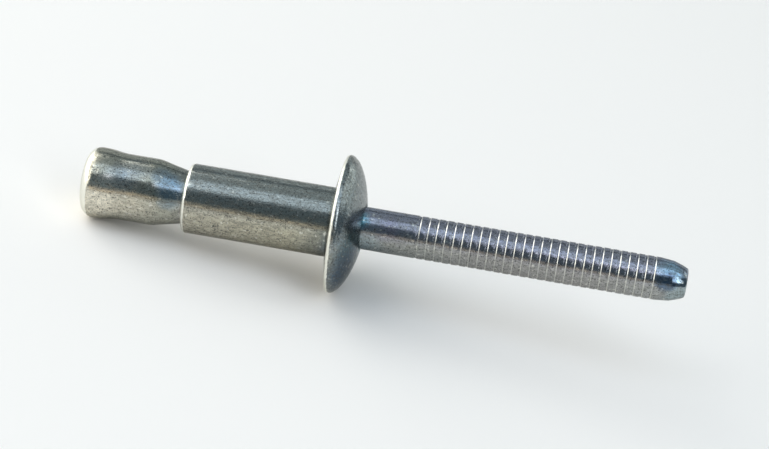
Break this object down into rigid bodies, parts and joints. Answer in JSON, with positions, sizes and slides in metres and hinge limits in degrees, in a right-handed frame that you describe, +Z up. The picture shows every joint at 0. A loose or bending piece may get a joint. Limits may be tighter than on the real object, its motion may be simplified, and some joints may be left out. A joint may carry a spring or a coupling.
{
  "type": "structural blind rivet",
  "caption": "Unset structural blind rivet: plated steel shell with a low domed flange on a pull pin with a flared head, a smooth neck and ring grooves to its tapered end.",
  "frame": {"origin": "centre of the flange's bearing face, on the rivet's axis", "axes": "the rivet lies at rest on the rim of its flange and the rim of the pin's head: its axis is in the XZ plane, +X towards the pulling end, raised 7.78 degrees from the floor at z = -6.25 mm; +Z is up"},
  "size_m": [0.0554, 0.0126, 0.0126],
  "materials": {
    "shell_zinc": "satin zinc plating with a faint straw and olive tint",
    "pin_zinc": "clear blue zinc plating, brighter on the groove edges"
  },
  "bodies": {
    "root": {"shell": "shell_zinc", "pin": "pin_zinc"}
  },
  "joints": []
}
